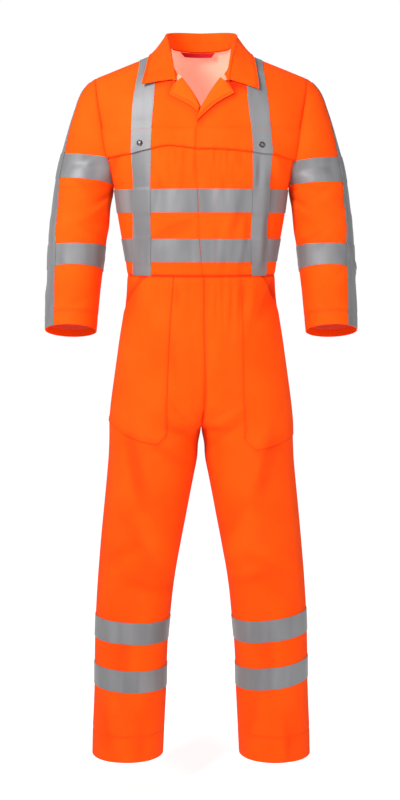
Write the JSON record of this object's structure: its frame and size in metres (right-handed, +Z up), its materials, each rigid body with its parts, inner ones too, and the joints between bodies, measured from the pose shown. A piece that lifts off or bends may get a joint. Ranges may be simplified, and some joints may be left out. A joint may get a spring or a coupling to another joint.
{
  "type": "boiler suit",
  "caption": "Long-sleeved boiler suit in bright orange cloth with grey reflecting tape, open notched collar, chest flaps and thigh pockets, filled out and hollow, open at neck, cuffs and hems.",
  "frame": {"origin": "midway between the two neck points of the shoulder seams, where the suit is held and hangs from the wearer", "axes": "+Z up, -Y out of the front of the suit, +X towards the wearer's left"},
  "size_m": [0.7062, 0.2558, 1.6927],
  "materials": {
    "orange_cloth": "matt twill",
    "reflecting_tape": "fine satin reflecting tape",
    "red_label": "plain woven label",
    "dark_metal": "dark press stud ring",
    "bright_metal": "bright press stud cap"
  },
  "bodies": {
    "root": {"bodice_back": "orange_cloth", "bodice_front_left": "orange_cloth", "bodice_front_right": "orange_cloth", "brace_tape_high_left": "reflecting_tape", "brace_tape_high_right": "reflecting_tape", "brace_tape_low_left": "reflecting_tape", "brace_tape_low_right": "reflecting_tape", "chest_flap_left": "orange_cloth", "chest_flap_right": "orange_cloth", "collar": "orange_cloth", "lapel_left": "orange_cloth", "lapel_right": "orange_cloth", "leg_band1_left": "reflecting_tape", "leg_band1_right": "reflecting_tape", "leg_band2_left": "reflecting_tape", "leg_band2_right": "reflecting_tape", "neck_label": "red_label", "pocket_left": "orange_cloth", "pocket_right": "orange_cloth", "sleeve_band1_left": "reflecting_tape", "sleeve_band1_right": "reflecting_tape", "sleeve_band2_left": "reflecting_tape", "sleeve_band2_right": "reflecting_tape", "sleeve_left": "orange_cloth", "sleeve_right": "orange_cloth", "sleeve_stripe_left": "reflecting_tape", "sleeve_stripe_right": "reflecting_tape", "stud_cap_left": "bright_metal", "stud_cap_right": "bright_metal", "stud_ring_left": "dark_metal", "stud_ring_right": "dark_metal", "torso_band1_back": "reflecting_tape", "torso_band1_front_left": "reflecting_tape", "torso_band1_front_right": "reflecting_tape", "torso_band2_back": "reflecting_tape", "torso_band2_front_left": "reflecting_tape", "torso_band2_front_right": "reflecting_tape", "trouser_back_left": "orange_cloth", "trouser_back_right": "orange_cloth", "trouser_front_left": "orange_cloth", "trouser_front_right": "orange_cloth"}
  },
  "joints": []
}
